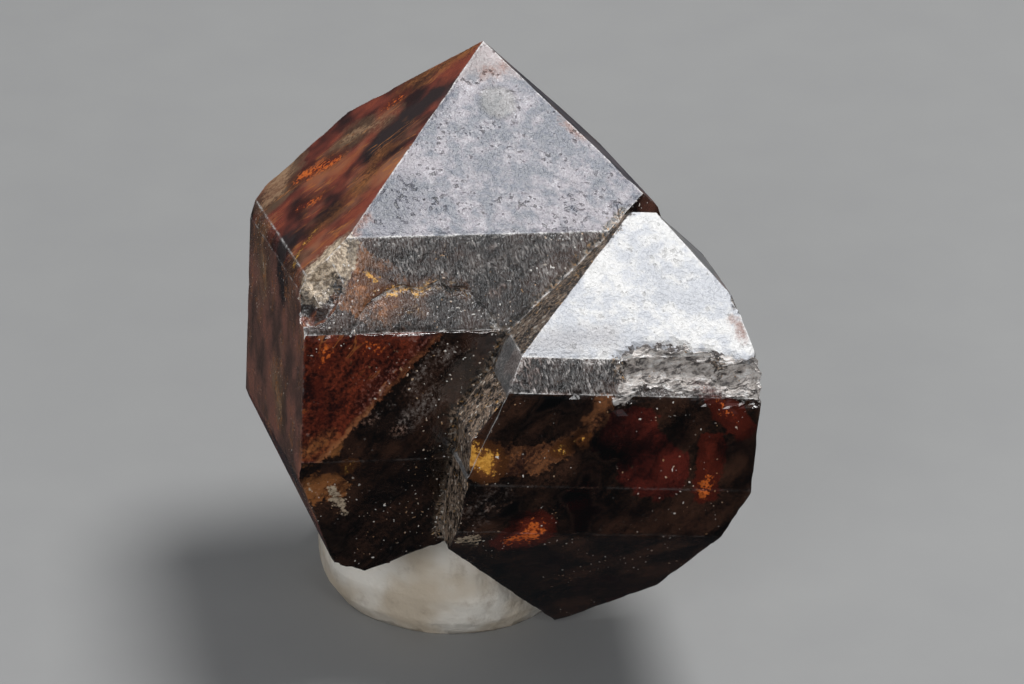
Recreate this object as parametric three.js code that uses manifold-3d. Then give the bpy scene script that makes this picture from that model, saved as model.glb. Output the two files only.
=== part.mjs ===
// Two dark zircon crystals grown side by side, standing in a small lump of white putty.
// Millimetres, Z up. The origin is the middle of the putty's flat underside, and the front faces -Y.

import * as THREE from 'three';
import { ConvexGeometry } from 'three/addons/geometries/ConvexGeometry.js';
import { ImprovedNoise } from 'three/addons/math/ImprovedNoise.js';
import { mergeVertices } from 'three/addons/utils/BufferGeometryUtils.js';
import Module from 'manifold-3d';

// Zircon is tetragonal: the ratio of its c axis to its a axis sets the slope of every face.
const AXIAL_RATIO = 0.9054;

// Each face is its Miller index and its distance in mm from the crystal's reference point.
// In each crystal a points right, b points back and c points up.
// The large crystal, its distances measured from its tip.
const LARGE_TIP = [1.8, 2.48, 23.36];
const LARGE_LEAN_BACK = 12.76;
const LARGE_LEAN_RIGHT = 2.29;
const LARGE_TURN = 13.17;
const LARGE_FACES = [
  { name: 'front pyramid', index: [0, -1, 1], distance: 0 },
  { name: 'left pyramid', index: [-1, 0, 1], distance: 0.56 },
  { name: 'right pyramid', index: [1, 0, 1], distance: 0 },
  { name: 'back pyramid', index: [0, 1, 1], distance: 0.6 },
  { name: 'front bevel', index: [0, -3, 1], distance: 4.08 },
  { name: 'left bevel', index: [-3, 0, 1], distance: 5.9 },
  { name: 'right bevel', index: [3, 0, 1], distance: 3.8 },
  { name: 'front prism', index: [0, -1, 0], distance: 7.86 },
  { name: 'left prism', index: [-1, 0, 0], distance: 9.26 },
  { name: 'right prism', index: [1, 0, 0], distance: 7.1 },
  { name: 'back prism', index: [0, 1, 0], distance: 5.1 },
  { name: 'back left edge', index: [-1, 1, 0], distance: 9.6 },
  { name: 'front right edge', index: [3, -4, 0], distance: 7.3 },
  { name: 'lower front bevel', index: [0, -3, -1], distance: 12.53 },
  { name: 'lower left bevel', index: [-5, 0, -2], distance: 14.79 },
  { name: 'lower right bevel', index: [3, 0, -1], distance: 12 },
  { name: 'lower back bevel', index: [0, 3, -1], distance: 10.5 },
];

// The small crystal, its distances measured from the middle of its short top ridge.
const SMALL_RIDGE = [7.83, -3.54, 19.12];
const SMALL_LEAN_BACK = 11.5;
const SMALL_LEAN_RIGHT = 5.15;
const SMALL_TURN = 10.63;
const SMALL_FACES = [
  { name: 'front pyramid', index: [0, -1, 1], distance: 0 },
  { name: 'back pyramid', index: [0, 1, 1], distance: 0 },
  { name: 'left pyramid', index: [-1, 0, 1], distance: 0.36 },
  { name: 'right pyramid', index: [1, 0, 1], distance: 0.36 },
  { name: 'front bevel', index: [0, -3, 1], distance: 3.18 },
  { name: 'left bevel', index: [-3, 0, 1], distance: 3.66 },
  { name: 'right bevel', index: [3, 0, 1], distance: 2.31 },
  { name: 'front prism', index: [0, -1, 0], distance: 5.59 },
  { name: 'left prism', index: [-1, 0, 0], distance: 7.48 },
  { name: 'right prism', index: [1, 0, 0], distance: 4.29 },
  { name: 'back prism', index: [0, 1, 0], distance: 3 },
  { name: 'lower front bevel', index: [0, -3, -1], distance: 8.67 },
  { name: 'lower right bevel', index: [3, 0, -1], distance: 7.5 },
  { name: 'lower left bevel', index: [-3, 0, -1], distance: 12 },
  { name: 'lower front pyramid', index: [0, -1, -1], distance: 12.26 },
  { name: 'lower right pyramid', index: [1, 0, -1], distance: 13.3 },
  { name: 'lower left pyramid', index: [-1, 0, -1], distance: 15.06 },
  { name: 'lower back pyramid', index: [0, 1, -1], distance: 16.2 },
];

// A second growth layer fills out the small crystal's left shoulder, a hair inside the front face.
const SHOULDER_INDEX = [-5, 0, 3];
const SHOULDER_DISTANCE = 1.75;
const SHOULDER_STEP = 0.06;

// The large crystal is broken off below: two break faces meet at its lowest point.
const BREAK_LOW_POINT = [-6.04, -5.81, -20.46];
const BREAK_RISE_LEFT = 0.44;
const BREAK_RISE_RIGHT = 0.47;
const BREAK_RISE_BACK = 0.3;

// The ragged ledge on the large crystal's front bevel: the face below it is a little worn back,
// deepest at the ledge and nothing at the bevel's lower edge. Each point is its place along a and c.
const LEDGE_WEAR_DEG = 3.5;
const LEDGE_FOOT = -9.55;
const LEDGE_LINE = [
  [-7.3, -9.5],
  [-6.6, -8.45],
  [-5.9, -8.05],
  [-5.05, -7.8],
  [-4.4, -7.95],
  [-3.6, -7.65],
  [-3.05, -7.95],
  [-2.6, -8.0],
  [-1.9, -8.6],
  [-1.3, -9.5],
];

// Broken hollows, each a rough shallow bowl: middle and half sizes along the crystal's a, b and c axes.
const LARGE_HOLLOWS = [
  { name: 'chip at the left shoulder', middle: [-9.25, -7.75, -7.15], half: [1.8, 1.15, 2.1] },
];
const SMALL_HOLLOWS = [
  { name: 'break along the bevel', middle: [0.6, -5.9, -4.85], half: [2.7, 1.25, 0.75] },
  { name: 'break on the right', middle: [3.2, -6.0, -5.15], half: [1.9, 1.0, 0.7] },
  { name: 'upper edge chip', middle: [3.75, -3.1, -2.55], half: [0.45, 0.7, 0.55] },
  { name: 'lower edge chip', middle: [4.35, -4.2, -3.6], half: [0.5, 0.65, 0.65] },
];
const HOLLOW_ROUGHNESS = 0.32;

// The putty lump: its outline from the underside up, as radius and height.
const PUTTY_PROFILE = [
  [0, -0.5],
  [5.1, -0.5],
  [5.5, 0],
  [5.95, 0.8],
  [6.15, 2.0],
  [6.0, 3.4],
  [5.4, 4.8],
  [4.3, 6.2],
  [2.6, 7.2],
  [0, 7.6],
];
const PUTTY_SEGMENTS = 40;
const PUTTY_LUMPS = 0.12;
const PUTTY_LUMP_SIZE = 4.2;
const CONTACT_GAP = 0.12;

const CRYSTAL_COLOUR = 0x4a2a21;
const PUTTY_COLOUR = 0xcdc5b8;

const wasm = await Module();
wasm.setup();

// A solid from a closed geometry.
function toSolid(geometry) {
  const bare = geometry.index ? geometry.toNonIndexed() : geometry.clone();
  bare.deleteAttribute('normal');
  bare.deleteAttribute('uv');
  const welded = mergeVertices(bare, 1e-4);
  const corners = [];
  const index = welded.index.array;
  for (let i = 0; i < index.length; i += 3) {
    const [a, b, c] = [index[i], index[i + 1], index[i + 2]];
    if (a !== b && b !== c && c !== a) corners.push(a, b, c);
  }
  const vertProperties = new Float32Array(welded.attributes.position.array);
  const triVerts = new Uint32Array(corners);
  return new wasm.Manifold(new wasm.Mesh({ numProp: 3, vertProperties, triVerts }));
}

// A flat-shaded mesh from a solid.
function toMesh(solid, name, material) {
  const data = solid.getMesh();
  const geometry = new THREE.BufferGeometry();
  geometry.setAttribute('position', new THREE.BufferAttribute(data.vertProperties, 3));
  geometry.setIndex(new THREE.BufferAttribute(data.triVerts, 1));
  const mesh = new THREE.Mesh(geometry, material);
  mesh.name = name;
  return mesh;
}

// The outward direction of a face with Miller index h, k, l.
function faceDirection([h, k, l]) {
  return new THREE.Vector3(h, k, l / AXIAL_RATIO).normalize();
}

// The planes of listed faces.
function facePlanes(faces) {
  return faces.map(({ index, distance }) => new THREE.Plane(faceDirection(index), -distance));
}

// A plane through a point, facing a direction.
function planeThrough(direction, point) {
  const normal = new THREE.Vector3(...direction).normalize();
  return new THREE.Plane().setFromNormalAndCoplanarPoint(normal, new THREE.Vector3(...point));
}

// The convex body bounded by planes, each moved outward by grow: its corners are where three planes meet.
function convexBody(planes, grow) {
  const moved = planes.map((plane) => new THREE.Plane(plane.normal.clone(), plane.constant - grow));
  const corners = [];
  for (let i = 0; i < moved.length; i += 1) {
    for (let j = i + 1; j < moved.length; j += 1) {
      for (let k = j + 1; k < moved.length; k += 1) {
        const [p, q, r] = [moved[i], moved[j], moved[k]];
        const cross = new THREE.Vector3().crossVectors(q.normal, r.normal);
        const determinant = p.normal.dot(cross);
        if (Math.abs(determinant) < 1e-6) continue;
        const point = cross.multiplyScalar(-p.constant);
        point.addScaledVector(new THREE.Vector3().crossVectors(r.normal, p.normal), -q.constant);
        point.addScaledVector(new THREE.Vector3().crossVectors(p.normal, q.normal), -r.constant);
        point.divideScalar(determinant);
        const inside = moved.every((plane) => plane.distanceToPoint(point) < 1e-6);
        const known = corners.some((corner) => corner.distanceTo(point) < 1e-3);
        if (inside && !known) corners.push(point);
      }
    }
  }
  return toSolid(new ConvexGeometry(corners));
}

// A rough faceted bowl, used to break a hollow out of a face.
function roughBowl({ middle, half }, seed) {
  const geometry = new THREE.IcosahedronGeometry(1, 3);
  const noise = new ImprovedNoise();
  const positions = geometry.attributes.position;
  const point = new THREE.Vector3();
  for (let i = 0; i < positions.count; i += 1) {
    point.fromBufferAttribute(positions, i);
    const swell = noise.noise(point.x * 2.3 + seed, point.y * 2.3, point.z * 2.3);
    point.multiplyScalar(1 + HOLLOW_ROUGHNESS * swell);
    point.multiply(new THREE.Vector3(...half)).add(new THREE.Vector3(...middle));
    positions.setXYZ(i, point.x, point.y, point.z);
  }
  return toSolid(geometry);
}

// The thin wedge worn off the large front bevel below the ledge.
function ledgeCut() {
  const bevel = facePlanes(LARGE_FACES.filter(({ name }) => name === 'front bevel'))[0];
  const footDepth = (-bevel.constant - bevel.normal.z * LEDGE_FOOT) / bevel.normal.y;
  const outline = LEDGE_LINE.map(([x, z]) => new THREE.Vector2(x, (z - LEDGE_FOOT) / -bevel.normal.y));
  const slab = new THREE.ExtrudeGeometry(new THREE.Shape(outline), { depth: 1, bevelEnabled: false });
  slab.rotateX(Math.PI / 2 - Math.asin(bevel.normal.z) + THREE.MathUtils.degToRad(-LEDGE_WEAR_DEG));
  slab.translate(0, footDepth, LEDGE_FOOT);
  return toSolid(slab);
}

// Where a crystal stands: turned about its own c axis, then leaned right and back.
function placement(position, leanBack, leanRight, turn) {
  const radians = THREE.MathUtils.degToRad;
  const euler = new THREE.Euler(radians(-leanBack), radians(leanRight), radians(turn), 'XYZ');
  const matrix = new THREE.Matrix4().makeRotationFromEuler(euler);
  return matrix.setPosition(...position).elements;
}

// The large crystal: its growth faces and the break below.
function largeCrystal(grow) {
  const planes = facePlanes(LARGE_FACES);
  planes.push(planeThrough([-BREAK_RISE_LEFT, BREAK_RISE_BACK, -1], BREAK_LOW_POINT));
  planes.push(planeThrough([BREAK_RISE_RIGHT, BREAK_RISE_BACK, -1], BREAK_LOW_POINT));
  const body = convexBody(planes, grow);
  return body.transform(placement(LARGE_TIP, LARGE_LEAN_BACK, LARGE_LEAN_RIGHT, LARGE_TURN));
}

// The small crystal: its growth faces and the fuller left shoulder, both closed below by a pyramid.
function smallCrystal(grow) {
  const main = convexBody(facePlanes(SMALL_FACES), grow);
  const shoulderFaces = SMALL_FACES.filter(({ name }) => name !== 'left bevel');
  const layer = shoulderFaces.map(({ index, distance }) => ({ index, distance: distance - SHOULDER_STEP }));
  layer.push({ index: SHOULDER_INDEX, distance: SHOULDER_DISTANCE });
  const body = main.add(convexBody(facePlanes(layer), grow));
  return body.transform(placement(SMALL_RIDGE, SMALL_LEAN_BACK, SMALL_LEAN_RIGHT, SMALL_TURN));
}

// Both crystals as they have grown together, with the ledge and the broken hollows taken out.
const smallPlacement = placement(SMALL_RIDGE, SMALL_LEAN_BACK, SMALL_LEAN_RIGHT, SMALL_TURN);
const largePlacement = placement(LARGE_TIP, LARGE_LEAN_BACK, LARGE_LEAN_RIGHT, LARGE_TURN);
let large = largeCrystal(0).subtract(ledgeCut().transform(largePlacement));
LARGE_HOLLOWS.forEach((hollow, i) => {
  large = large.subtract(roughBowl(hollow, 2 + 3 * i).transform(largePlacement));
});
let small = smallCrystal(0);
SMALL_HOLLOWS.forEach((hollow, i) => {
  small = small.subtract(roughBowl(hollow, 5 + 3 * i).transform(smallPlacement));
});
const crystals = large.add(small);

// The putty: a turned lump pressed out of round, cut flat below and hollowed where the crystals sit.
function puttyLump() {
  const profile = PUTTY_PROFILE.map(([radius, height]) => new THREE.Vector2(radius, height));
  const geometry = new THREE.LatheGeometry(profile, PUTTY_SEGMENTS);
  geometry.rotateX(Math.PI / 2);
  const noise = new ImprovedNoise();
  const positions = geometry.attributes.position;
  const point = new THREE.Vector3();
  for (let i = 0; i < positions.count; i += 1) {
    point.fromBufferAttribute(positions, i);
    const at = point.clone().divideScalar(PUTTY_LUMP_SIZE);
    const swell = PUTTY_LUMPS * noise.noise(at.x + 3.1, at.y + 1.7, at.z + 0.4);
    positions.setXYZ(i, point.x * (1 + swell), point.y * (1 + swell), point.z);
  }
  const ground = new THREE.BoxGeometry(40, 40, 10);
  ground.translate(0, 0, -5);
  return toSolid(geometry).subtract(toSolid(ground));
}

let putty = puttyLump().subtract(largeCrystal(CONTACT_GAP));
putty = putty.subtract(smallCrystal(CONTACT_GAP));

const crystalMaterial = new THREE.MeshStandardMaterial({
  color: CRYSTAL_COLOUR,
  roughness: 0.25,
  metalness: 0,
  flatShading: true,
});
const puttyMaterial = new THREE.MeshStandardMaterial({ color: PUTTY_COLOUR, roughness: 0.7, metalness: 0 });

const part = new THREE.Group();
part.name = 'zircon_on_putty';
part.add(toMesh(crystals, 'zircon_crystals', crystalMaterial));
part.add(toMesh(putty, 'putty_lump', puttyMaterial));

export default part;
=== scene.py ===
"""The look of two zircon crystals standing in a lump of white putty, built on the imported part."""

import math
from types import SimpleNamespace

import bmesh
import bpy
import numpy as np
from mathutils import Matrix, Vector, kdtree, noise


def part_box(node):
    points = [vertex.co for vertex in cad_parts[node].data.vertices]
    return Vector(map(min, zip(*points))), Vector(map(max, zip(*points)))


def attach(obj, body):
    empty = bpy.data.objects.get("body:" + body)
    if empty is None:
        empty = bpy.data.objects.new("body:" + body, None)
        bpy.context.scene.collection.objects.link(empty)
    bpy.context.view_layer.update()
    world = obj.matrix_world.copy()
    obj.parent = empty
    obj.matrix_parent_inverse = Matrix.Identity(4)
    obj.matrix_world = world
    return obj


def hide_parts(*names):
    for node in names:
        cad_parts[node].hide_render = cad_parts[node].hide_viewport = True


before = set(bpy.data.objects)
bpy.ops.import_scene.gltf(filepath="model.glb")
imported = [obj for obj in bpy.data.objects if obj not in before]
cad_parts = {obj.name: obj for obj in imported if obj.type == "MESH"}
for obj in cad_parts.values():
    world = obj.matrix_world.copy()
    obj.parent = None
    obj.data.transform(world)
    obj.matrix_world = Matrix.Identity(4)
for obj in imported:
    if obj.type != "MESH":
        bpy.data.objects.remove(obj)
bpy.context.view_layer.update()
scene = bpy.context.scene

MM = 0.001


# The crystals' own axes: a points right, b back and c up, from the same place as in the part
def crystal_axes(lean_back, lean_right, turn):
    back = Matrix.Rotation(math.radians(-lean_back), 3, "X")
    right = Matrix.Rotation(math.radians(lean_right), 3, "Y")
    return back @ right @ Matrix.Rotation(math.radians(turn), 3, "Z")


LARGE_TIP = Vector((1.8, 2.48, 23.36))
LARGE_AXES = crystal_axes(12.76, 2.29, 13.17)
SMALL_RIDGE = Vector((7.83, -3.54, 19.12))
SMALL_AXES = crystal_axes(11.5, 5.15, 10.63)

# Length of the crystal's c axis against its a axis, and the faces of each kind as Miller indices
AXIAL_RATIO = 0.9054
FACE_KINDS = {
    "pyramid": [(1, 0, 1)],
    "bevel": [(3, 0, 1)],
    "prism": [(1, 0, 0)],
    "extra": [(1, 1, 0), (3, 4, 0), (4, 3, 0), (5, 0, 2), (5, 0, 3)],
}
# How far a face may lie from its ideal place before it counts as broken
BEVEL_SPREAD = math.radians(4)
FACE_SPREAD = math.radians(0.7)
# A face looks to the front or the left when its normal points this far that way
FACING = 0.6
# The worn ledge on the large front bevel: how far its faces look to the front and up
LEDGE_FRONT, LEDGE_UP = 0.8, 0.2
# Broken faces further right than this, in mm, belong to the small crystal
SMALL_SIDE = 3.0
# Frost on the pyramids that don't face the front and on the small left bevel, against 1 in front
SIDE_FROST, STRIP_FROST = 0.6, 0.7
# Crust on the small left pyramid, against 1 on the faces below its bevel
PYRAMID_CRUST = 0.35

# Mesh sizes: the pieces are cut into cells, then every edge is cut again
CRYSTAL_CELL, CRYSTAL_CUTS = 0.9, 3
PUTTY_CELL, PUTTY_CUTS = 1.1, 1
CELL_OFFSET = 0.37
SAME_PLANE = math.radians(0.4)
SHARP_EDGE = 0.12
WELD, CUT_SNAP, CUT_WELD = 1e-6, 1e-7, 2e-6

# Low relief in mm: how far wear reaches from an edge, and how deep each kind of relief goes
EDGE_REACH = 0.16
EDGE_SINK, EDGE_WEAR = 0.02, 0.07
BREAK_SINK, BREAK_GRAIN = 0.06, 0.07
CRUST_SHARE = 0.8
SHATTER_SINK, SHATTER_GRAIN = 0.12, 0.16
# Where the shattered relief starts and is full, and how ragged its outline is
SHATTER_START, SHATTER_FULL, SHATTER_RAGGED = -0.25, 0.15, 0.35
# Noise of the worn edges and of the rough grain, in turns per mm
WEAR_SCALE, GRAIN_SCALE = 0.9, 1.6
GRAIN_SHIFT = Vector((7, 3, 1))

# The right half of the small front bevel is shattered: lines in that crystal's axes with half widths, in mm
SHATTERED_BEVEL = [
    ("small", [(-0.6, -5.2, -4.8), (0.9, -5.3, -4.95), (4.2, -5.4, -5.2)], 0.85),
    ("small", [(-1.2, -5.3, -5.2), (-1.4, -5.6, -6.3)], 0.30),
    ("small", [(-1.0, -4.8, -4.4), (1.2, -4.7, -4.3)], 0.22),
]

# A slanting crack in the large front prism: a point on it, and the way to its clear red side
CRACK_POINT = (-4.1, 0, -10.3)
CRACK_SIDE = (-0.736, 0, 0.677)

# Marks in and on the crystals: lines in each crystal's axes with half widths, in mm.
# A half width below zero leaves only what the noise adds to it.
MARKS = {
    # Painted glints: orange red light of healed cracks, painted into the colour
    "ember": [
        ("large", [(-8.4, -7.86, -10.2), (-8.4, -7.86, -10.9)], 0.10),
        ("large", [(-6.6, -7.86, -10.1), (-6.2, -7.86, -10.2)], 0.10),
        ("large", [(-8.6, -7.86, -11.5), (-8.4, -7.86, -13.1)], -0.08),
        ("large", [(-7.4, 2.8, -5.95), (-6.3, 1.6, -4.95)], 0.32),
        ("large", [(-3.9, 2.2, -2.75), (-3.5, 2.0, -2.40)], 0.20),
        ("large", [(-8.0, 0.0, -6.50), (-7.4, -0.6, -5.95)], 0.10),
        ("small", [(-4.9, -4.3, -13.2), (-4.4, -4.8, -12.1)], 0.55),
        ("small", [(2.43, -5.6, -8.0), (2.42, -5.6, -10.0)], 0.05),
        ("small", [(1.3, -5.23, -5.0), (2.2, -5.5, -5.7), (2.8, -5.6, -6.4), (3.7, -5.6, -7.2)], 0.0),
    ],
    # Painted glints: yellow light painted into the colour
    "gold_glint": [
        ("small", [(-7.4, -5.6, -8.75), (-6.7, -5.6, -8.95)], 0.55),
        ("small", [(-3.8, -5.6, -8.4), (-2.9, -5.6, -7.8)], -0.02),
        ("large", [(-6.3, -7.2, -7.9), (-5.0, -7.2, -7.95), (-4.4, -7.2, -8.0)], 0.02),
        ("large", [(-4.4, -7.2, -8.0), (-3.9, -7.2, -7.7), (-2.6, -7.2, -8.0)], 0.03),
        ("large", [(-5.6, -7.4, -8.9), (-4.6, -7.4, -8.8)], 0.02),
        ("large", [(-6.5, -7.04, -7.35), (-6.1, -7.1, -7.5)], 0.08),
        ("large", [(-8.1, -3.3, -6.57), (-9.2, -4.5, -7.6)], 0.02),
        ("large", [(-7.2, -7.86, -15.1), (-7.4, -7.86, -15.6)], 0.02),
    ],
    # The dull orange sheet that runs on from the small crystal's painted yellow glint
    "veil": [
        ("small", [(-7.1, -5.6, -8.75), (-4.5, -5.6, -8.75)], 0.22),
        ("small", [(-4.5, -5.6, -8.75), (-3.8, -5.6, -8.4), (-2.8, -5.6, -7.8), (-2.1, -5.6, -6.3)], 0.08),
    ],
    # Warm brown patches
    "amber": [
        ("large", [(-7.4, -7.0, -7.2), (-5.8, -7.4, -8.4)], 0.70),
        ("large", [(-9.0, -7.86, -14.4), (-8.2, -7.86, -14.0)], 0.20),
        ("large", [(-9.1, -7.4, -16.3), (-7.8, -7.4, -16.1)], 0.20),
        ("large", [(-0.9, 0.8, -0.04), (-3.2, 2.5, -2.13)], 0.35),
        ("large", [(-5.0, -1.8, -3.8), (-6.2, -3.1, -4.85)], 0.30),
        ("large", [(-7.1, -3.2, -5.7), (-7.9, -3.3, -6.4)], 0.15),
    ],
    # Pale and dark patches of the large left faces
    "buff": [
        ("large", [(-5.4, 2.6, -4.2), (-4.3, 1.0, -3.1)], 0.40),
        ("large", [(-7.8, 5.3, -6.3), (-8.4, 3.4, -6.8)], 0.80),
        ("large", [(-9.26, 1.4, -8.3), (-9.26, 0.6, -9.6)], 0.60),
        ("large", [(-9.26, -2.2, -13.2), (-9.26, -3.4, -14.0)], 0.50),
    ],
    "shade": [
        ("large", [(-2.7, -0.7, -1.7), (-3.7, -0.5, -2.6), (-4.8, -0.6, -3.6)], 0.85),
        ("large", [(-9.0, -1.8, -7.4), (-9.26, -3.2, -9.0)], 0.70),
    ],
    # Painted glow: deep red light in the small crystal, painted into the colour
    "painted_glow": [
        ("small", [(-0.1, -5.6, -8.8), (0.3, -5.6, -9.1)], 0.45),
        ("small", [(-1.6, -5.6, -7.6), (-0.8, -5.6, -7.4)], 0.20),
    ],
    # Grey haze on the dark front faces
    "haze": [
        ("large", [(-6.3, -7.86, -12.8), (-5.7, -7.86, -11.6), (-4.6, -7.86, -11.3)], 0.50),
        ("large", [(-5.2, -7.86, -13.4), (-4.0, -7.86, -12.3)], 0.35),
        ("large", [(-4.3, -7.86, -10.2), (-3.4, -7.86, -10.5)], 0.45),
        ("large", [(-2.6, -7.3, -7.9), (-1.8, -7.2, -7.2), (-1.0, -7.0, -6.4)], 0.60),
        ("small", [(-6.8, -5.2, -11.2), (-6.1, -5.5, -10.1)], 0.55),
    ],
    # Dull places, clustered pits and a round growth hillock on the front pyramids
    "dim": [
        ("large", [(-5.6, -6.0, -5.44), (-4.7, -4.9, -4.44)], 0.80),
        ("small", [(-4.8, -4.60, -4.17), (-3.4, -4.4, -3.99), (-2.0, -4.3, -3.90)], 0.55),
    ],
    "pitted": [
        ("large", [(2.25, -5.58, -5.05), (1.67, -6.30, -5.70)], 0.60),
        ("large", [(-4.68, -4.90, -4.44), (-3.4, -5.40, -4.90)], 0.40),
    ],
    "hillock": [
        ("large", [(-0.27, -1.84, -1.66)], 0.78),
    ],
    # Rust stains, and broken places that show tan
    "rust": [
        ("large", [(-0.7, -0.74, -0.67), (-0.1, -0.60, -0.54), (0.55, -0.51, -0.46)], 0.20),
        ("large", [(2.4, -2.5, -2.3), (3.1, -3.1, -2.8)], 0.16),
        ("large", [(-7.2, -6.5, -5.9), (-6.6, -5.8, -5.3)], 0.30),
        ("large", [(5.5, -4.9, -5.2), (6.3, -4.3, -6.0)], 0.60),
        ("small", [(3.4, -3.7, -3.35), (3.6, -4.1, -3.7)], 0.22),
    ],
    "tan": [
        ("large", [(-9.0, -7.3, -7.3), (-8.2, -6.9, -6.3)], 1.00),
        ("large", [(-9.1, -7.8, -16.4), (-7.9, -7.5, -16.4), (-7.3, -7.0, -17.2)], -0.04),
        ("small", [(-6.8, -4.4, -13.1), (-6.7, -4.3, -13.5)], 0.25),
    ],
}
# Distances stored on the mesh stop here, and marks colour the body this far past their cover, in mm
FAR = 3.0
MARK_RIM = 0.12


# Mesh helpers
def dense_copy(node, cell, cuts):
    """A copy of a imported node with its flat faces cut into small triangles."""
    mesh = bmesh.new()
    mesh.from_mesh(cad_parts[node].data)
    bmesh.ops.remove_doubles(mesh, verts=mesh.verts, dist=WELD)
    bmesh.ops.dissolve_limit(mesh, angle_limit=SAME_PLANE, verts=mesh.verts, edges=mesh.edges)
    low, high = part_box(node)
    middle = (low + high) / 2
    reach = (high - low).length / 2
    steps = int(reach / cell) + 1
    for axis in range(3):
        normal = LARGE_AXES.col[axis]
        for step in range(-steps, steps + 1):
            geometry = mesh.verts[:] + mesh.edges[:] + mesh.faces[:]
            point = middle + normal * (step + CELL_OFFSET) * cell
            bmesh.ops.bisect_plane(mesh, geom=geometry, dist=CUT_SNAP, plane_co=point, plane_no=normal)
    bmesh.ops.triangulate(mesh, faces=mesh.faces)
    bmesh.ops.remove_doubles(mesh, verts=mesh.verts, dist=CUT_WELD)
    bmesh.ops.subdivide_edges(mesh, edges=mesh.edges, cuts=cuts, use_grid_fill=True)
    bmesh.ops.triangulate(mesh, faces=mesh.faces)
    mesh.normal_update()
    return mesh


def add_object(name, mesh):
    data = bpy.data.meshes.new(name)
    mesh.to_mesh(data)
    mesh.free()
    piece = bpy.data.objects.new(name, data)
    scene.collection.objects.link(piece)
    return piece


def set_material(piece, material):
    piece.data.materials.clear()
    piece.data.materials.append(material)


def vectors(items, name):
    """One vector of each point or face of a mesh, as rows."""
    values = np.zeros(len(items) * 3, np.float32)
    items.foreach_get(name, values)
    return values.reshape(-1, 3)


def store(data, domain, name, values):
    """Keep one number on each point or face, for the material to read."""
    attribute = data.attributes.new(name, "FLOAT", domain)
    attribute.data.foreach_set("value", np.asarray(values, np.float32))


def smooth_step(low, high, value):
    t = np.clip((value - low) / (high - low), 0, 1)
    return t * t * (3 - 2 * t)


def distance_to(points, data):
    """How far each point of a mesh is from the nearest of some points, in mm."""
    tree = kdtree.KDTree(len(points))
    for i, point in enumerate(points):
        tree.insert(point, i)
    tree.balance()
    return np.array([tree.find(vertex.co)[2] for vertex in data.vertices]) / MM


def depth_in(points, line, half_width):
    """How deep each point lies inside a line drawn with a half width."""
    line = np.array(line, float)
    if len(line) == 1:
        return half_width - np.linalg.norm(points - line[0], axis=1)
    nearest = np.full(len(points), np.inf)
    for start, end in zip(line, line[1:]):
        along = end - start
        t = np.clip((points - start) @ along / (along @ along), 0, 1)
        nearest = np.minimum(nearest, np.linalg.norm(points - start - t[:, None] * along, axis=1))
    return half_width - nearest


def deepest(places, marks):
    """The depth in whichever of some marks is deepest, at each point."""
    return np.max([depth_in(places[crystal], line, width) for crystal, line, width in marks], axis=0)


# The crystals' shape
def sort_faces(data):
    """Each triangle's kind, crystal and normal in that crystal's axes, told by how it lies to them."""
    normals = vectors(data.polygons, "normal")
    best = np.full(len(normals), -1.0)
    kind = np.full(len(normals), "broken", object)
    small = np.zeros(len(normals))
    local = np.zeros_like(normals)
    for is_small, axes in ((0, LARGE_AXES), (1, SMALL_AXES)):
        own = normals @ np.array(axes)
        folded = np.abs(own)
        for family, indices in FACE_KINDS.items():
            for h, k, l in indices:
                ideal = np.array((h, k, l / AXIAL_RATIO))
                ideal = ideal / np.linalg.norm(ideal)
                match = np.maximum(folded @ ideal, folded[:, [1, 0, 2]] @ ideal)
                better = match > best
                best[better] = match[better]
                kind[better] = family
                small[better] = is_small
                local[better] = own[better]
    kind[best < np.cos(np.where(kind == "bevel", BEVEL_SPREAD, FACE_SPREAD))] = "broken"
    ledge = (kind == "extra") & (small == 0) & (local[:, 1] < -LEDGE_FRONT) & (local[:, 2] > LEDGE_UP)
    kind[ledge] = "bevel"
    on_right = vectors(data.polygons, "center")[:, 0] > SMALL_SIDE * MM
    small = np.where(kind == "broken", on_right, small)
    return kind, small, local


def face_values(kind, small, local):
    """What the material needs to know of each triangle."""
    whole = kind != "broken"
    upper = local[:, 2] > 0
    front = local[:, 1] < -FACING
    faces_left = (local[:, 0] < -FACING) & whole
    left_face = faces_left & (small == 0)
    left_of_small = faces_left & (small == 1)
    pyramid = (kind == "pyramid") & upper
    bevel = (kind == "bevel") & upper
    frosted = pyramid * np.where(front, 1.0, np.where(left_face, 0.0, SIDE_FROST))
    crust = np.where(kind == "pyramid", PYRAMID_CRUST, np.where(kind == "bevel", 0.0, 1.0))
    return {
        "pyramid": pyramid,
        "bevel": bevel,
        "prism": kind == "prism",
        "front": front,
        "left_face": left_face,
        "small": small,
        "broken": ~whole,
        "frosted": np.where(left_of_small & bevel, STRIP_FROST, frosted),
        "crust": left_of_small * crust,
    }


def spread_to_points(data, corners, values):
    """The highest value of the triangles round each point."""
    highest = np.zeros(len(data.vertices))
    for corner in range(3):
        np.maximum.at(highest, corners[:, corner], values)
    return highest


def find_seam(data, corners, small, whole):
    """The points where faces of both crystals meet."""
    touches = np.zeros((2, len(data.vertices)), bool)
    for is_small in (0, 1):
        touches[is_small, corners[(small == is_small) & whole].ravel()] = True
    return [data.vertices[i].co.copy() for i in np.nonzero(touches.all(axis=0))[0]]


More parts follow.
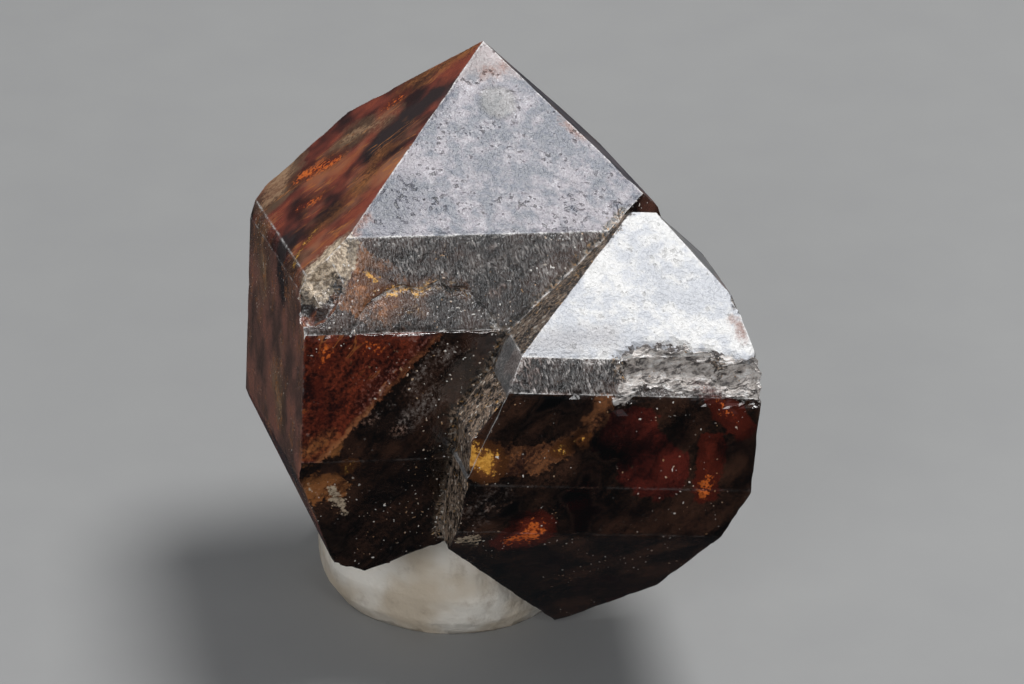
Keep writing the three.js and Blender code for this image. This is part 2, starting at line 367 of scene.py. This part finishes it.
def sink_depth(positions, edge_distance, shatter, rough, crust):
    """The relief in mm: worn edges, rough breaks, the crust between the crystals and the shattered bevel."""
    wear = np.zeros(len(positions))
    grain = np.zeros(len(positions))
    for i, position in enumerate(positions):
        place = Vector(position) / MM
        wear[i] = noise.fractal(place * WEAR_SCALE, 0.9, 2.1, 4)
        grain[i] = noise.fractal(place * GRAIN_SCALE + GRAIN_SHIFT, 0.8, 2.2, 5)
    near_edge = np.exp(-((edge_distance / EDGE_REACH) ** 2))
    shattered = smooth_step(SHATTER_START, SHATTER_FULL, shatter + SHATTER_RAGGED * grain)
    sink = near_edge * (EDGE_SINK + EDGE_WEAR * np.clip(wear, 0, 1))
    sink += (BREAK_SINK + BREAK_GRAIN * grain) * np.maximum(rough, CRUST_SHARE * crust)
    sink += (SHATTER_SINK + SHATTER_GRAIN * grain) * shattered
    return np.maximum(sink, 0)


def make_crystals():
    """Both crystals in one piece, with their relief and with what the material reads from the mesh."""
    mesh = dense_copy("zircon_crystals", CRYSTAL_CELL * MM, CRYSTAL_CUTS)
    edges = [edge for edge in mesh.edges if len(edge.link_faces) == 2]
    sharp = [edge for edge in edges if edge.calc_face_angle(0) > SHARP_EDGE]
    sharp_points = {vertex.index: vertex.co.copy() for edge in sharp for vertex in edge.verts}
    crystal = add_object("crystal_pair", mesh)
    data = crystal.data
    corner_points = np.zeros(len(data.loops), np.int32)
    data.loops.foreach_get("vertex_index", corner_points)
    corners = corner_points.reshape(-1, 3)

    kind, small, local = sort_faces(data)
    on_faces = face_values(kind, small, local)
    for name, values in on_faces.items():
        store(data, "FACE", name, values)

    positions = vectors(data.vertices, "co").astype(float)
    places = {
        "large": (positions / MM - np.array(LARGE_TIP)) @ np.array(LARGE_AXES),
        "small": (positions / MM - np.array(SMALL_RIDGE)) @ np.array(SMALL_AXES),
    }
    edge_distance = distance_to(list(sharp_points.values()), data)
    seam_distance = distance_to(find_seam(data, corners, small, kind != "broken"), data)
    shatter = deepest(places, SHATTERED_BEVEL)
    crack = (places["large"] - CRACK_POINT) @ np.array(CRACK_SIDE)
    store(data, "POINT", "edge_mm", edge_distance)
    store(data, "POINT", "seam_mm", seam_distance)
    store(data, "POINT", "shatter_mm", np.maximum(shatter, -FAR))
    store(data, "POINT", "crack_mm", np.clip(crack, -FAR, FAR))
    for name, marks in MARKS.items():
        store(data, "POINT", name + "_mm", np.maximum(deepest(places, marks), -FAR))

    rough = spread_to_points(data, corners, on_faces["broken"].astype(float))
    crust = spread_to_points(data, corners, on_faces["crust"])
    sink = sink_depth(positions, edge_distance, shatter, rough, crust)
    positions -= vectors(data.vertices, "normal") * (sink * MM)[:, None]
    data.vertices.foreach_set("co", positions.astype(np.float32).ravel())
    data.update()
    return crystal


# Materials
class Graph:
    """A material's node tree, with a short call for each kind of node."""

    def __init__(self, name):
        self.material = bpy.data.materials.new(name)
        self.material.use_nodes = True
        self.tree = self.material.node_tree
        self.tree.nodes.clear()
        self.output = self.node("OutputMaterial")
        self.shader = self.node("BsdfPrincipled")
        self.link(self.shader.outputs[0], self.output.inputs["Surface"])

    def node(self, kind):
        return self.tree.nodes.new("ShaderNode" + kind)

    def link(self, value, socket):
        """Give a socket a number, a colour, a vector or another node's result."""
        if isinstance(value, (int, float)):
            socket.default_value = value
        elif isinstance(value, tuple):
            socket.default_value = value if len(socket.default_value) == len(value) else (*value, 1)
        else:
            self.tree.links.new(value, socket)

    def set(self, name, value):
        self.link(value, self.shader.inputs[name])

    def attribute(self, name):
        node = self.node("Attribute")
        node.attribute_name = name
        return node.outputs["Fac"]

    def position(self):
        """The place on the piece, in mm."""
        scaled = self.node("VectorMath")
        scaled.operation = "SCALE"
        scaled.inputs["Scale"].default_value = 1 / MM
        self.link(self.node("TexCoord").outputs["Object"], scaled.inputs[0])
        return scaled.outputs[0]

    def dot(self, vector, direction):
        node = self.node("VectorMath")
        node.operation = "DOT_PRODUCT"
        self.link(vector, node.inputs[0])
        self.link(tuple(direction), node.inputs[1])
        return node.outputs["Value"]

    def along(self, position, axes, directions):
        """The place measured along three directions in a crystal's axes, to stretch a noise."""
        node = self.node("CombineXYZ")
        for i, direction in enumerate(directions):
            self.link(self.dot(position, axes @ Vector(direction)), node.inputs[i])
        return node.outputs[0]

    def noise(self, vector, scale, detail, rough=0.55):
        node = self.node("TexNoise")
        self.link(vector, node.inputs["Vector"])
        node.inputs["Scale"].default_value = scale
        node.inputs["Detail"].default_value = detail
        node.inputs["Roughness"].default_value = rough
        return node.outputs["Fac"]

    def math(self, operation, a, b=0.0, clamp=False):
        node = self.node("Math")
        node.operation = operation
        node.use_clamp = clamp
        self.link(a, node.inputs[0])
        self.link(b, node.inputs[1])
        return node.outputs[0]

    def add(self, a, b):
        return self.math("ADD", a, b)

    def less(self, a, b):
        return self.math("SUBTRACT", a, b)

    def rest(self, value):
        return self.math("SUBTRACT", 1.0, value)

    def size(self, value):
        return self.math("ABSOLUTE", value)

    def times(self, *values):
        result = values[0]
        for value in values[1:]:
            result = self.math("MULTIPLY", result, value)
        return result

    def most(self, *values):
        result = values[0]
        for value in values[1:]:
            result = self.math("MAXIMUM", result, value)
        return result

    def share(self, a, part, b):
        """A part of a, and for the rest b."""
        return self.add(self.times(a, part), self.times(b, 1 - part))

    def ramp(self, value, low, high):
        """A smooth rise from 0 at low to 1 at high, or a fall where high is the lower one."""
        node = self.node("MapRange")
        node.interpolation_type = "SMOOTHSTEP"
        self.link(value, node.inputs["Value"])
        node.inputs["From Min"].default_value = low
        node.inputs["From Max"].default_value = high
        return node.outputs["Result"]

    def mix(self, factor, a, b):
        """A colour from a to b."""
        node = self.node("Mix")
        node.data_type = "RGBA"
        self.link(factor, node.inputs[0])
        self.link(a, node.inputs[6])
        self.link(b, node.inputs[7])
        return node.outputs[2]

    def blend(self, factor, a, b):
        """A number from a to b."""
        node = self.node("Mix")
        node.data_type = "FLOAT"
        self.link(factor, node.inputs[0])
        self.link(a, node.inputs[2])
        self.link(b, node.inputs[3])
        return node.outputs[0]

    def bump(self, height, strength, distance):
        node = self.node("Bump")
        self.link(height, node.inputs["Height"])
        node.inputs["Strength"].default_value = strength
        node.inputs["Distance"].default_value = distance
        return node.outputs[0]

    def depth(self, name, shake):
        """The depth in a mark in mm, with its outline shaken by noise."""
        return self.add(self.attribute(name + "_mm"), shake)

    def cover(self, name, shake, soft):
        return self.ramp(self.depth(name, shake), -soft, soft)

    def tint(self, depth, soft, cover, under):
        """Where a mark colours the body: a little past its cover, so that its clear rim is coloured too."""
        return self.blend(under, self.ramp(depth, -soft - MARK_RIM, -soft), cover)

    def mark(self, name, shake, soft, under):
        """Where a mark tints and how far it covers, over a body that is covered already by under."""
        depth = self.depth(name, shake)
        cover = self.ramp(depth, -soft, soft)
        return self.tint(depth, soft, cover, under), cover

    def painted_glint(self, name, shake, soft, under, bright, spread):
        """A painted glint: where it tints, how far it covers and how bright its painted light is."""
        depth = self.depth(name, shake)
        cover = self.ramp(depth, -soft, 0.4 * soft)
        glint_level = self.add(depth, self.times(self.less(bright, 0.65), spread))
        return self.tint(depth, soft, cover, under), cover, self.ramp(glint_level, -0.3 * soft, 0.5 * soft)


# Zircon
# Each layer gives tints, which say where it colours and with what, and covers, where it keeps light out.
# Healed cracks, striae and splinters follow stretched noises, given in turns per mm along the crystals' axes.
STREAKS = [(0.76, -0.10, -0.64), (0.20, 0.90, 0.10), (-0.124, -0.08, -0.134)]
STRIAE = [(11.0, 0, 3.0), (0, 11.0, 0), (1.6, 0, 2.0)]
SPLINTERS = [(1.3, 0, 0.9), (0, 5.0, 0), (-1.6, 0, 4.4)]
BODY = (0.45, 0.22, 0.14)
IOR = 1.95
ABSORPTION = (0.72, 0.31, 0.06)
DENSITY = 1600.0
# Roughness of the clear faces, bare pyramids, frost, bevels, and breaks with crust and dust
GLASSY, SATIN, FROSTY, SILKY, DULL = 0.08, 0.18, 0.485, 0.34, 0.45
ETCH_STRENGTH, ETCH_HEIGHT = 0.6, 0.2 * MM


def zircon_grounds(g):
    """The face kinds and noises that the layers share."""
    z = SimpleNamespace()
    z.position = g.position()
    z.pyramid = g.attribute("pyramid")
    z.bevel = g.attribute("bevel")
    z.prism = g.attribute("prism")
    z.front = g.attribute("front")
    z.left = g.attribute("left_face")
    z.small = g.attribute("small")
    z.broken = g.attribute("broken")
    z.frosted = g.attribute("frosted")
    z.crust = g.attribute("crust")
    z.seam = g.attribute("seam_mm")
    z.sloping = g.most(z.pyramid, z.bevel)
    z.striated = g.times(z.bevel, g.rest(z.left))
    elsewhere = g.math("SUBTRACT", g.rest(z.front), z.left, clamp=True)
    z.hidden = g.times(elsewhere, g.rest(z.sloping))

    z.coarse = g.noise(z.position, 0.45, 2, 0.5)
    z.medium = g.noise(z.position, 1.7, 3, 0.6)
    z.fine = g.noise(z.position, 7.0, 2, 0.65)
    z.speck = g.noise(z.position, 4.8, 1)
    z.patch = g.noise(z.position, 0.50, 2, 0.55)
    z.streak = g.noise(g.along(z.position, LARGE_AXES, STREAKS), 1.1, 3, 0.62)
    z.hatch = g.noise(g.along(z.position, LARGE_AXES, STRIAE), 1.0, 2, 0.6)
    z.chips = g.noise(g.along(z.position, SMALL_AXES, SPLINTERS), 1.0, 2, 0.68)
    z.zone = g.share(z.coarse, 0.78, z.streak)
    z.bright = g.ramp(g.share(z.streak, 0.6, z.fine), 0.38, 0.62)
    z.wobble = g.times(g.less(z.medium, 0.5), 1.1)
    z.shiver = g.times(g.less(z.fine, 0.5), 0.5)
    z.shake = g.add(z.wobble, z.shiver)
    return z


def clear_body(g, z):
    """The dark clear body: red beside the crack, hazy in places, warm behind the large left faces, with a
    painted glow on the hidden faces.
    """
    crack = g.attribute("crack_mm")
    large_front = g.times(z.front, g.rest(z.small), z.prism)
    z.red = g.times(g.ramp(g.add(crack, z.shiver), -0.04, 0.10), large_front)
    z.crack_edge = g.times(z.red, g.ramp(g.add(crack, g.times(z.wobble, 0.6)), 0.34, 0.05))

    warm = g.mix(g.ramp(z.patch, 0.36, 0.64), (0.066, 0.021, 0.018), (0.33, 0.070, 0.040))
    warm = g.mix(g.times(g.ramp(z.zone, 0.50, 0.66), 0.7), warm, (0.46, 0.22, 0.125))
    warm = g.mix(g.times(z.bright, g.ramp(z.patch, 0.52, 0.70), 0.4), warm, (0.66, 0.20, 0.060))
    warm = g.mix(g.times(z.prism, 0.5), warm, (0.52, 0.29, 0.22))
    warm_cover = g.times(g.blend(g.ramp(z.patch, 0.34, 0.60), 0.45, 0.85), z.left)
    z.under = g.most(warm_cover, z.red)

    cloud = g.times(g.ramp(z.zone, 0.36, 0.62), g.rest(z.left), 0.6)
    haze = g.times(g.cover("haze", z.shake, 0.4), g.ramp(g.add(z.streak, z.fine), 0.95, 1.25), 0.6)
    # Painted glow: orange red light painted on the faces that don't face the front
    painted_back_glow = g.times(g.ramp(z.zone, 0.50, 0.58), z.hidden)
    tints = [
        (z.left, warm),
        (g.ramp(cloud, 0.0, 0.1), g.mix(z.bright, (0.010, 0.005, 0.003), (0.085, 0.036, 0.020))),
        (z.red, g.mix(z.bright, (0.022, 0.004, 0.003), (0.26, 0.045, 0.018))),
        (haze, (0.40, 0.36, 0.33)),
        (painted_back_glow, g.mix(z.bright, (0.030, 0.006, 0.004), (0.26, 0.055, 0.020))),
    ]
    covers = [warm_cover, cloud, g.times(z.red, 0.7), haze, g.times(painted_back_glow, 0.7)]
    return tints, covers


def glints(g, z):
    """Painted glows and glints, bright painted glint lines, and patches that show from under the surface."""
    small_shake = g.times(z.shake, 0.7)
    painted_glow_tint, painted_glow = g.mark("painted_glow", z.wobble, 0.8, z.under)
    buff_tint, buff = g.mark("buff", z.shake, 0.6, z.under)
    shade_tint, shade = g.mark("shade", z.wobble, 0.35, z.under)
    amber_tint, z.amber = g.mark("amber", z.shake, 0.5, z.under)
    veil_tint, veil = g.mark("veil", z.shake, 0.3, z.under)
    # The ember and gold marks are painted glints, brightest where their glint level is high
    ember_tint, z.ember, ember_heat = g.painted_glint("ember", small_shake, 0.48, z.under, z.bright, 0.9)
    gold_glint_tint, gold_glint, gold_glint_level = g.painted_glint("gold_glint", small_shake, 0.30, z.under, z.bright, 0.45)
    ember_core = g.mix(z.bright, (0.36, 0.045, 0.010), (0.88, 0.20, 0.032))
    gold_glint_core = g.mix(z.bright, (0.52, 0.21, 0.026), (1.0, 0.53, 0.10))
    # Thin lines along the healed cracks, painted bright orange as glints
    line = g.ramp(g.size(g.less(z.streak, 0.52)), 0.022, 0.0)
    glint_lined_faces = g.most(z.left, g.times(z.red, 0.6), g.times(z.hidden, 0.5))
    line = g.times(line, g.ramp(z.coarse, 0.46, 0.56), glint_lined_faces)
    tints = [
        (painted_glow_tint, g.mix(z.bright, (0.05, 0.008, 0.006), (0.20, 0.028, 0.016))),
        (buff_tint, g.mix(z.bright, (0.22, 0.10, 0.055), (0.50, 0.31, 0.18))),
        (shade_tint, (0.040, 0.025, 0.024)),
        (g.times(line, 0.6), (0.75, 0.28, 0.07)),
        (z.crack_edge, g.mix(z.bright, (0.16, 0.05, 0.02), (0.42, 0.17, 0.07))),
        (amber_tint, g.mix(z.bright, (0.09, 0.03, 0.014), (0.50, 0.19, 0.06))),
        (veil_tint, g.mix(z.bright, (0.05, 0.018, 0.012), (0.36, 0.14, 0.055))),
        (ember_tint, g.mix(ember_heat, (0.13, 0.018, 0.008), ember_core)),
        (gold_glint_tint, g.mix(gold_glint_level, (0.16, 0.055, 0.016), gold_glint_core)),
    ]
    covers = [g.times(painted_glow, 0.5), buff, shade, g.times(line, 0.85), g.times(z.amber, 0.8)]
    covers += [g.times(veil, 0.7), z.ember, gold_glint]
    return tints, covers


def tip_height(g, z):
    """Height over the large tip along that crystal, in mm."""
    up = LARGE_AXES.col[2]
    return g.less(g.dot(z.position, up), LARGE_TIP.dot(up))


def frosted_pyramids(g, z):
    """Etched frost on the pyramids, darker and bluish on the large crystal, with pits, a hillock and light
    nicks painted bright as highlights.
    """
    frost = g.ramp(g.share(z.medium, 0.35, z.fine), 0.38, 0.60)
    etched = g.ramp(g.share(z.medium, 0.55, z.coarse), 0.42, 0.58)
    pitted = g.most(g.times(g.ramp(z.medium, 0.54, 0.64), 0.7), g.cover("pitted", z.wobble, 0.4))
    z.pits = g.times(g.ramp(z.speck, 0.43, 0.34), pitted, g.blend(z.small, 1.0, 0.45))
    z.hillock = g.cover("hillock", g.times(z.shake, 0.5), 0.16)
    dim = g.times(g.cover("dim", z.wobble, 0.5), 0.75)
    # Thin nicks painted light grey as highlights
    nick_highlight = g.ramp(g.size(g.less(z.fine, 0.5)), 0.035, 0.0)
    nick_highlight = g.times(nick_highlight, g.ramp(z.medium, 0.50, 0.62))
    near_tip = g.ramp(g.add(tip_height(g, z), z.wobble), -1.1, -0.5)

    large = g.mix(etched, (0.130, 0.147, 0.200), (0.33, 0.295, 0.33))
    large = g.mix(g.times(near_tip, 0.8), large, (0.50, 0.40, 0.385))
    large = g.mix(g.times(z.hillock, 0.6), large, (0.25, 0.24, 0.215))
    large = g.mix(nick_highlight, large, (0.56, 0.56, 0.60))
    small = g.mix(etched, (0.58, 0.60, 0.65), (0.76, 0.75, 0.735))
    colour = g.mix(z.small, large, small)
    colour = g.mix(dim, colour, g.mix(z.small, (0.085, 0.095, 0.135), (0.36, 0.35, 0.37)))
    colour = g.mix(z.bevel, colour, (0.36, 0.37, 0.38))

    film = g.times(z.frosted, g.blend(frost, g.blend(z.small, 0.64, 0.78), 1.0))
    film = g.times(film, g.blend(g.ramp(z.coarse, 0.36, 0.60), g.blend(z.small, 0.80, 0.88), 1.0))
    film = g.times(film, g.blend(z.pits, 1.0, 0.08))
    return [(z.frosted, colour)], [film]


def striated_bevels(g, z):
    """Fine light striae on the bevels, fainter on the lower half of the large one."""
    upper_half = g.ramp(tip_height(g, z), -8.6, -7.5)
    striae = g.times(z.striated, g.ramp(z.hatch, 0.42, 0.66), g.rest(z.amber))
    striae = g.times(striae, g.blend(g.ramp(z.medium, 0.36, 0.62), 0.05, 1.0))
    striae = g.times(striae, g.blend(g.most(upper_half, z.small), 0.45, 1.0), g.blend(z.front, 0.6, 1.0))
    colour = g.mix(z.small, (0.46, 0.415, 0.39), (0.86, 0.79, 0.75))
    return [(striae, colour)], [g.times(striae, 0.7)]


def stains(g, z):
    """Rust stains, and broken places that show tan."""
    rust = g.times(g.cover("rust", z.shake, 0.25), 0.9)
    tan_tint, z.tan = g.mark("tan", z.shake, 0.25, z.under)
    tan = g.mix(g.ramp(z.fine, 0.36, 0.64), (0.30, 0.215, 0.14), (0.86, 0.69, 0.50))
    return [(rust, (0.24, 0.10, 0.07)), (tan_tint, tan)], [z.tan]


def breaks(g, z):
    """The splintered breaks of the small crystal, with painted shade along the step where its pyramid ends at
    one.
    """
    depth = g.depth("shatter", g.times(z.shake, 0.8))
    z.shattered = g.ramp(depth, -0.07, 0.07)
    z.splintered = g.times(g.most(z.broken, z.shattered), z.small)
    # Painted shade: a dark band on the pyramid along the recessed step of the shattered bevel
    step = g.times(g.ramp(g.size(depth), 0.13, 0.03), z.pyramid, z.small)
    splinters = g.mix(g.ramp(z.chips, 0.35, 0.54), (0.060, 0.046, 0.040), (0.76, 0.69, 0.64))
    splinters = g.mix(g.ramp(z.chips, 0.54, 0.66), splinters, (0.98, 0.95, 0.92))
    tints = [
        (g.times(z.splintered, g.rest(z.ember)), splinters),
        (g.times(step, g.ramp(z.streak, 0.42, 0.54), 0.9), (0.045, 0.026, 0.020)),
    ]
    return tints, [g.times(z.splintered, 0.8)]


def seam_crust_and_shade(g, z):
    """The grainy brown crust where the crystals meet, mostly dark as painted shade between the crystals, with
    pale grains and gold grains painted as glints.
    """
    near_seam = g.times(g.ramp(g.add(z.seam, z.shake), 0.42, 0.08), g.blend(z.bevel, 1.0, 0.45))
    near_seam = g.times(near_seam, g.blend(z.small, 0.25, 0.9))
    z.crusty = g.times(g.most(z.crust, near_seam), g.ramp(z.medium, 0.25, 0.48))
    tint = g.ramp(z.crusty, 0.0, 0.12)
    # The dark ground between the lumps is painted shade between the crystals
    lumps_over_shade = g.ramp(g.share(z.fine, 0.6, z.medium), 0.45, 0.57)
    grains = g.mix(g.ramp(z.medium, 0.44, 0.54), (0.62, 0.33, 0.10), (0.72, 0.66, 0.58))
    tints = [
        (tint, g.mix(lumps_over_shade, (0.012, 0.008, 0.006), (0.36, 0.255, 0.18))),
        (g.times(tint, g.ramp(z.speck, 0.60, 0.70)), grains),
    ]
    return tints, [z.crusty]


def wear_highlight_and_dust(g, z):
    """Pale worn edges, which also stand in as painted highlights, strongest on the pyramids and bevels, and
    dust grains off the pyramids, most of them near the seam.
    """
    # Real wear and painted edge highlights in one light edge colour
    wear_and_highlight = g.ramp(g.add(g.attribute("edge_mm"), g.size(z.shiver)), 0.11, 0.03)
    wear_and_highlight = g.times(wear_and_highlight, g.blend(g.ramp(z.medium, 0.42, 0.58), 0.25, 1.0), g.blend(z.sloping, 0.12, 0.9))
    dusty = g.most(g.ramp(z.coarse, 0.44, 0.58), g.ramp(z.seam, 2.5, 1.0))
    grains = g.less(g.noise(z.position, 8.0, 0), g.times(z.small, 0.03))
    z.dust = g.times(g.ramp(grains, 0.755, 0.80), dusty, g.rest(z.pyramid))
    dust = g.mix(g.ramp(z.medium, 0.40, 0.56), (0.40, 0.22, 0.09), (0.78, 0.75, 0.70))
    return [(wear_and_highlight, (0.84, 0.82, 0.80)), (z.dust, dust)], [wear_and_highlight, z.dust]


ZIRCON_LAYERS = [
    clear_body,
    glints,
    frosted_pyramids,
    striated_bevels,
    stains,
    breaks,
    seam_crust_and_shade,
    wear_highlight_and_dust,
]


def zircon_roughness(g, z):
    """Glassy prisms, frosted pyramids, silky bevels and dull breaks, crust and dust."""
    rough = g.blend(z.frosted, g.blend(z.pyramid, GLASSY, SATIN), FROSTY)
    rough = g.blend(z.striated, rough, SILKY)
    rough = g.blend(g.most(z.broken, z.splintered, z.crusty, z.tan, z.dust), rough, DULL)
    return g.math("ADD", rough, g.times(z.shiver, 0.4), clamp=True)


def zircon_relief(g, z):
    """Etched pyramids with pits and a hillock, striated bevels and rough breaks."""
    relief = g.times(z.fine, g.most(g.times(z.frosted, 0.46), z.broken, z.crust, 0.06))
    etching = g.less(g.times(z.hillock, 0.15), g.times(z.pits, 0.6))
    relief = g.add(relief, g.times(z.frosted, etching))
    relief = g.add(relief, g.times(z.hatch, z.bevel, 0.9))
    relief = g.add(relief, g.times(z.chips, z.shattered, 1.5))
    return g.bump(relief, ETCH_STRENGTH, ETCH_HEIGHT)


def zircon_material():
    g = Graph("zircon")
    z = zircon_grounds(g)
    colour = BODY
    covers = []
    for layer in ZIRCON_LAYERS:
        tints, layer_covers = layer(g, z)
        for where, tint in tints:
            colour = g.mix(where, colour, tint)
        covers += layer_covers
    g.set("Base Color", colour)
    g.set("Transmission Weight", g.rest(g.most(*covers)))
    g.set("Roughness", zircon_roughness(g, z))
    g.set("Normal", zircon_relief(g, z))
    g.set("IOR", IOR)
    absorption = g.node("VolumeAbsorption")
    g.link(ABSORPTION, absorption.inputs["Color"])
    g.link(DENSITY, absorption.inputs["Density"])
    g.link(absorption.outputs[0], g.output.inputs["Volume"])
    return g.material


def putty_material():
    """Warm white putty, clouded, with random brown mottles and soft dents."""
    g = Graph("putty")
    position = g.position()
    cloud = g.ramp(g.noise(position, 0.30, 3, 0.5), 0.36, 0.62)
    brown_mottle = g.ramp(g.noise(position, 0.9, 6, 0.65), 0.52, 0.75)
    colour = g.mix(cloud, (0.74, 0.63, 0.49), (0.98, 0.93, 0.84))
    g.set("Base Color", g.mix(g.times(brown_mottle, 0.5), colour, (0.42, 0.33, 0.24)))
    g.set("Roughness", 0.55)
    dents = g.add(g.noise(position, 0.8, 3, 0.5), g.times(g.noise(position, 7, 4, 0.6), 0.15))
    g.set("Normal", g.bump(dents, 0.5, 0.4 * MM))
    return g.material


def floor_material():
    """Plain pale grey."""
    g = Graph("floor")
    tone = g.noise(g.position(), 0.25, 3, 0.5)
    g.set("Base Color", g.mix(tone, (0.32, 0.32, 0.32), (0.35, 0.35, 0.345)))
    g.set("Roughness", 0.8)
    return g.material


# The pieces
crystal = make_crystals()
set_material(crystal, zircon_material())
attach(crystal, "root")
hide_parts("zircon_crystals")

lump = add_object("putty", dense_copy("putty_lump", PUTTY_CELL * MM, PUTTY_CUTS))
for polygon in lump.data.polygons:
    polygon.use_smooth = True
set_material(lump, putty_material())
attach(lump, "root")
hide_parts("putty_lump")

# The floor, just under the putty and kept out of the crystals' reflections
FLOOR_RADIUS = 500
FLOOR_CENTRE = Vector((2.5, -1.0, -0.02))

mesh = bmesh.new()
bmesh.ops.create_circle(mesh, cap_ends=True, segments=96, radius=FLOOR_RADIUS * MM)
floor = add_object("floor", mesh)
floor.location = FLOOR_CENTRE * MM
set_material(floor, floor_material())
floor.visible_glossy = False


# Light: soft discs round the crystals, and a sky that is brighter above than below
LIT_POINT = Vector((2.5, -2, 12))
SKY_COLOUR = (0.62, 0.66, 0.72, 1)
SKY_LOW, SKY_HIGH = 0.035, 0.30


def area_light(name, direction, distance, size, watts):
    light = bpy.data.lights.new(name, "AREA")
    light.shape = "DISK"
    light.size = size * MM
    light.energy = watts
    lamp = bpy.data.objects.new(name, light)
    away = Vector(direction).normalized()
    lamp.location = (LIT_POINT + away * distance) * MM
    lamp.rotation_euler = away.to_track_quat("Z", "Y").to_euler()
    scene.collection.objects.link(lamp)


def sky():
    world = bpy.data.worlds.new("studio")
    world.use_nodes = True
    nodes = world.node_tree.nodes
    links = world.node_tree.links
    background = nodes["Background"]
    background.inputs["Color"].default_value = SKY_COLOUR
    parts = nodes.new("ShaderNodeSeparateXYZ")
    links.new(nodes.new("ShaderNodeTexCoord").outputs["Generated"], parts.inputs[0])
    height = nodes.new("ShaderNodeMapRange")
    height.inputs["From Min"].default_value = -0.1
    height.inputs["From Max"].default_value = 0.9
    height.inputs["To Min"].default_value = SKY_LOW
    height.inputs["To Max"].default_value = SKY_HIGH
    links.new(parts.outputs[2], height.inputs["Value"])
    links.new(height.outputs["Result"], background.inputs["Strength"])
    return world


area_light("key", (0.32, 0.10, 0.94), 300, 110, 0.76)
area_light("front", (-0.35, -0.82, 0.45), 320, 130, 0.24)
area_light("bevel", (0.43, -0.74, 0.50), 320, 110, 0.09)
area_light("rim", (-0.75, 0.45, 0.5), 300, 140, 0.05)
scene.world = sky()
scene.view_settings.view_transform = "Standard"

# Camera: what it looks at, how far off and how high it stands, and the width it sees there
CAMERA_AIM = Vector((2.5, -8.7, 16.0))
CAMERA_DISTANCE = 205
CAMERA_ELEVATION = math.radians(30)
SEEN_WIDTH = 40.96
SENSOR_WIDTH = 36

camera_data = bpy.data.cameras.new("camera")
camera_data.sensor_width = SENSOR_WIDTH
camera_data.lens = SENSOR_WIDTH * CAMERA_DISTANCE / SEEN_WIDTH
camera_data.clip_start = 5 * MM
camera = bpy.data.objects.new("camera", camera_data)
view = Vector((0, -math.cos(CAMERA_ELEVATION), math.sin(CAMERA_ELEVATION)))
camera.location = (CAMERA_AIM + view * CAMERA_DISTANCE) * MM
camera.rotation_euler = view.to_track_quat("Z", "Y").to_euler()
scene.collection.objects.link(camera)
scene.camera = camera
